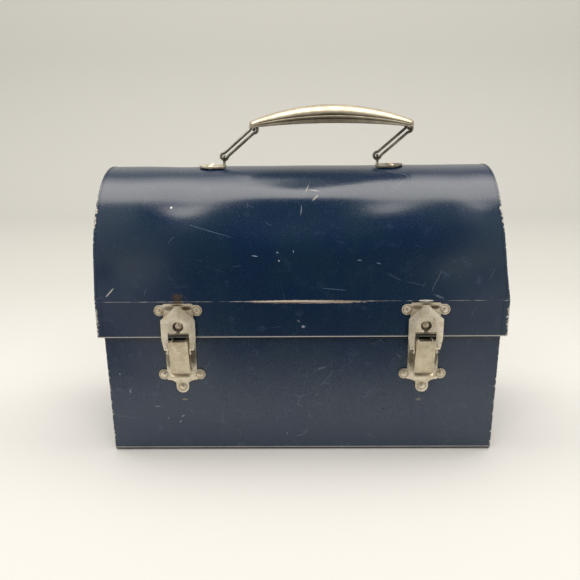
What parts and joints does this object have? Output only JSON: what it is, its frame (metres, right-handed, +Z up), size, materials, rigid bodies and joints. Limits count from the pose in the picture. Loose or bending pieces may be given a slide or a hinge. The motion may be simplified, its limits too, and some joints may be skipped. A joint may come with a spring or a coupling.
{
  "type": "lunch box",
  "caption": "Dome-top sheet-steel lunch box with a hinged lid, two draw latches, a swinging carrying handle and a wire bottle retainer inside the lid.",
  "frame": {"origin": "middle of the flat base, on the surface that the box stands on", "axes": "+X along the box, to the right as seen from the latch side; -Y towards the latch side; +Z up"},
  "size_m": [0.261, 0.1289, 0.2232],
  "materials": {
    "navy_enamel": "semi-gloss baked enamel, worn at the edges",
    "latch_nickel": "aged nickel plate",
    "rivet_steel": "worn plate",
    "pin_steel": "dull steel",
    "grip_nickel": "tarnished nickel plate, grime in the grooves",
    "link_wire": "dark steel wire",
    "retainer_wire": "plain plated wire"
  },
  "bodies": {
    "body": {"body_wrap": "navy_enamel", "body_end_left": "navy_enamel", "body_end_right": "navy_enamel", "hinge_leaf_body_left": "latch_nickel", "hinge_leaf_body_right": "latch_nickel", "hinge_pin_left": "pin_steel", "hinge_pin_right": "pin_steel", "hinge_rivets_body": "rivet_steel", "latch_base_left": "latch_nickel", "latch_base_right": "latch_nickel", "latch_base_rivets": "rivet_steel", "lever_pin_left": "pin_steel", "lever_pin_right": "pin_steel"},
    "lid": {"lid_wrap": "navy_enamel", "lid_end_left": "navy_enamel", "lid_end_right": "navy_enamel", "hinge_leaf_lid_left": "latch_nickel", "hinge_leaf_lid_right": "latch_nickel", "hinge_rivets_lid": "rivet_steel", "keeper_plate_left": "latch_nickel", "keeper_plate_right": "latch_nickel", "keeper_studs": "rivet_steel", "keeper_rivets": "rivet_steel", "handle_ear_left": "latch_nickel", "handle_ear_right": "latch_nickel", "ear_rivets": "rivet_steel", "retainer_brackets": "retainer_wire", "retainer_catch": "retainer_wire"},
    "latch_lever_left": {"lever_left": "latch_nickel", "hasp_pin_left": "pin_steel"},
    "latch_hasp_left": {"hasp_left": "latch_nickel"},
    "latch_lever_right": {"lever_right": "latch_nickel", "hasp_pin_right": "pin_steel"},
    "latch_hasp_right": {"hasp_right": "latch_nickel"},
    "link_left": {"handle_link_left": "link_wire"},
    "link_right": {"handle_link_right": "link_wire"},
    "grip": {"grip_shell": "grip_nickel", "grip_tray": "grip_nickel", "grip_pin_left": "pin_steel", "grip_pin_right": "pin_steel"},
    "retainer": {"retainer_bail": "retainer_wire"}
  },
  "joints": [
    {"name": "lid_hinge", "type": "hinge", "parent": "body", "child": "lid", "pos_m": [0, 0.0595, 0.0792], "axis": [-1, 0, 0], "range_deg": [0, 110]},
    {"name": "lever_left_pivot", "type": "hinge", "parent": "body", "child": "latch_lever_left", "pos_m": [-0.078, -0.0634, 0.0787], "axis": [-1, 0, 0], "range_deg": [0, 90]},
    {"name": "hasp_left_pivot", "type": "hinge", "parent": "latch_lever_left", "child": "latch_hasp_left", "pos_m": [-0.078, -0.0628, 0.0735], "axis": [-1, 0, 0], "range_deg": [-135, 0]},
    {"name": "lever_right_pivot", "type": "hinge", "parent": "body", "child": "latch_lever_right", "pos_m": [0.078, -0.0634, 0.0787], "axis": [-1, 0, 0], "range_deg": [0, 90]},
    {"name": "hasp_right_pivot", "type": "hinge", "parent": "latch_lever_right", "child": "latch_hasp_right", "pos_m": [0.078, -0.0628, 0.0735], "axis": [-1, 0, 0], "range_deg": [-135, 0]},
    {"name": "handle_swing", "type": "hinge", "parent": "lid", "child": "link_left", "pos_m": [-0.0515, 0, 0.1896], "axis": [0, -1, 0], "range_deg": [0, 99]},
    {"name": "grip_pivot", "type": "hinge", "parent": "link_left", "child": "grip", "pos_m": [-0.03097, 0, 0.20714], "axis": [0, -1, 0], "range_deg": [-99, 0]},
    {"name": "link_right_pivot", "type": "hinge", "parent": "lid", "child": "link_right", "pos_m": [0.0515, 0, 0.1896], "axis": [0, -1, 0], "range_deg": [0, 99]},
    {"name": "retainer_swing", "type": "hinge", "parent": "lid", "child": "retainer", "pos_m": [0, 0.0548, 0.1005], "axis": [1, 0, 0], "range_deg": [0, 60]}
  ],
  "couplings": [
    {"joint": "hasp_left_pivot", "follows": "lever_left_pivot", "ratio": -1.5},
    {"joint": "hasp_right_pivot", "follows": "lever_right_pivot", "ratio": -1.5},
    {"joint": "grip_pivot", "follows": "handle_swing", "ratio": -1},
    {"joint": "link_right_pivot", "follows": "handle_swing", "ratio": 1}
  ]
}
